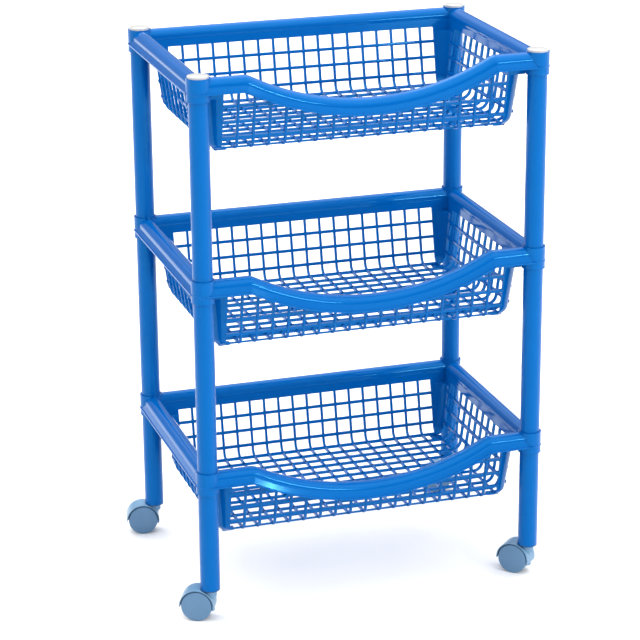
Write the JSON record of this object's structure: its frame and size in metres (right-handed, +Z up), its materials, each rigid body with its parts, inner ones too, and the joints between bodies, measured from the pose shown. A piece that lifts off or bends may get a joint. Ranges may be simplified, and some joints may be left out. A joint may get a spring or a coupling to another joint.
{
  "type": "rolling utility cart",
  "caption": "Tall narrow kitchen trolley: open mesh baskets with a scooped front rail, stacked on round corner posts, on small twin-wheel swivel casters.",
  "frame": {"origin": "on the floor, under the middle of the whole cart's plan, casters included", "axes": "+Z up; the front, with the scooped rails, faces -Y; +X to the right seen from the front"},
  "size_m": [0.4296, 0.2964, 0.6195],
  "materials": {
    "basket_plastic": "glossy mid-blue moulded plastic",
    "post_plastic": "glossy mid-blue plastic tube",
    "cap_plastic": "glossy white plastic",
    "socket_plastic": "satin dark blue plastic",
    "hood_plastic": "semi-gloss grey-blue plastic",
    "wheel_plastic": "semi-gloss grey-blue plastic",
    "caster_steel": "plain steel"
  },
  "bodies": {
    "cart": {"basket_bottom": "basket_plastic", "basket_middle": "basket_plastic", "basket_top": "basket_plastic", "leg_front_left": "post_plastic", "post_middle_front_left": "post_plastic", "post_top_front_left": "post_plastic", "cap_front_left": "cap_plastic", "leg_socket_front_left": "socket_plastic", "leg_front_right": "post_plastic", "post_middle_front_right": "post_plastic", "post_top_front_right": "post_plastic", "cap_front_right": "cap_plastic", "leg_socket_front_right": "socket_plastic", "leg_back_left": "post_plastic", "post_middle_back_left": "post_plastic", "post_top_back_left": "post_plastic", "cap_back_left": "cap_plastic", "leg_socket_back_left": "socket_plastic", "leg_back_right": "post_plastic", "post_middle_back_right": "post_plastic", "post_top_back_right": "post_plastic", "cap_back_right": "cap_plastic", "leg_socket_back_right": "socket_plastic"},
    "caster_front_left": {"caster_hood_front_left": "hood_plastic", "caster_stem_front_left": "caster_steel", "caster_grip_ring_front_left": "caster_steel", "caster_axle_front_left": "caster_steel"},
    "wheel_outer_front_left": {"caster_wheel_outer_front_left": "wheel_plastic"},
    "wheel_inner_front_left": {"caster_wheel_inner_front_left": "wheel_plastic"},
    "caster_front_right": {"caster_hood_front_right": "hood_plastic", "caster_stem_front_right": "caster_steel", "caster_grip_ring_front_right": "caster_steel", "caster_axle_front_right": "caster_steel"},
    "wheel_outer_front_right": {"caster_wheel_outer_front_right": "wheel_plastic"},
    "wheel_inner_front_right": {"caster_wheel_inner_front_right": "wheel_plastic"},
    "caster_back_left": {"caster_hood_back_left": "hood_plastic", "caster_stem_back_left": "caster_steel", "caster_grip_ring_back_left": "caster_steel", "caster_axle_back_left": "caster_steel"},
    "wheel_outer_back_left": {"caster_wheel_outer_back_left": "wheel_plastic"},
    "wheel_inner_back_left": {"caster_wheel_inner_back_left": "wheel_plastic"},
    "caster_back_right": {"caster_hood_back_right": "hood_plastic", "caster_stem_back_right": "caster_steel", "caster_grip_ring_back_right": "caster_steel", "caster_axle_back_right": "caster_steel"},
    "wheel_outer_back_right": {"caster_wheel_outer_back_right": "wheel_plastic"},
    "wheel_inner_back_right": {"caster_wheel_inner_back_right": "wheel_plastic"}
  },
  "joints": [
    {"name": "swivel_front_left", "type": "hinge", "parent": "cart", "child": "caster_front_left", "pos_m": [-0.17925, -0.13423, 0.035], "axis": [0, 0, 1], "continuous": true},
    {"name": "wheel_outer_spin_front_left", "type": "hinge", "parent": "caster_front_left", "child": "wheel_outer_front_left", "pos_m": [-0.19239, -0.1281, 0.01725], "axis": [-0.4226, -0.9063, 0], "continuous": true},
    {"name": "wheel_inner_spin_front_left", "type": "hinge", "parent": "caster_front_left", "child": "wheel_inner_front_left", "pos_m": [-0.19239, -0.1281, 0.01725], "axis": [-0.4226, -0.9063, 0], "continuous": true},
    {"name": "swivel_front_right", "type": "hinge", "parent": "cart", "child": "caster_front_right", "pos_m": [0.20075, -0.13423, 0.035], "axis": [0, 0, 1], "continuous": true},
    {"name": "wheel_outer_spin_front_right", "type": "hinge", "parent": "caster_front_right", "child": "wheel_outer_front_right", "pos_m": [0.1905, -0.12398, 0.01725], "axis": [-0.7071, -0.7071, 0], "continuous": true},
    {"name": "wheel_inner_spin_front_right", "type": "hinge", "parent": "caster_front_right", "child": "wheel_inner_front_right", "pos_m": [0.1905, -0.12398, 0.01725], "axis": [-0.7071, -0.7071, 0], "continuous": true},
    {"name": "swivel_back_left", "type": "hinge", "parent": "cart", "child": "caster_back_left", "pos_m": [-0.17925, 0.12177, 0.035], "axis": [0, 0, 1], "continuous": true},
    {"name": "wheel_outer_spin_back_left", "type": "hinge", "parent": "caster_back_left", "child": "wheel_outer_back_left", "pos_m": [-0.19348, 0.12453, 0.01725], "axis": [-0.1908, -0.9816, 0], "continuous": true},
    {"name": "wheel_inner_spin_back_left", "type": "hinge", "parent": "caster_back_left", "child": "wheel_inner_back_left", "pos_m": [-0.19348, 0.12453, 0.01725], "axis": [-0.1908, -0.9816, 0], "continuous": true},
    {"name": "swivel_back_right", "type": "hinge", "parent": "cart", "child": "caster_back_right", "pos_m": [0.20075, 0.12177, 0.035], "axis": [0, 0, 1], "continuous": true},
    {"name": "wheel_outer_spin_back_right", "type": "hinge", "parent": "caster_back_right", "child": "wheel_outer_back_right", "pos_m": [0.1882, 0.12902, 0.01725], "axis": [-0.5, -0.866, 0], "continuous": true},
    {"name": "wheel_inner_spin_back_right", "type": "hinge", "parent": "caster_back_right", "child": "wheel_inner_back_right", "pos_m": [0.1882, 0.12902, 0.01725], "axis": [-0.5, -0.866, 0], "continuous": true}
  ]
}
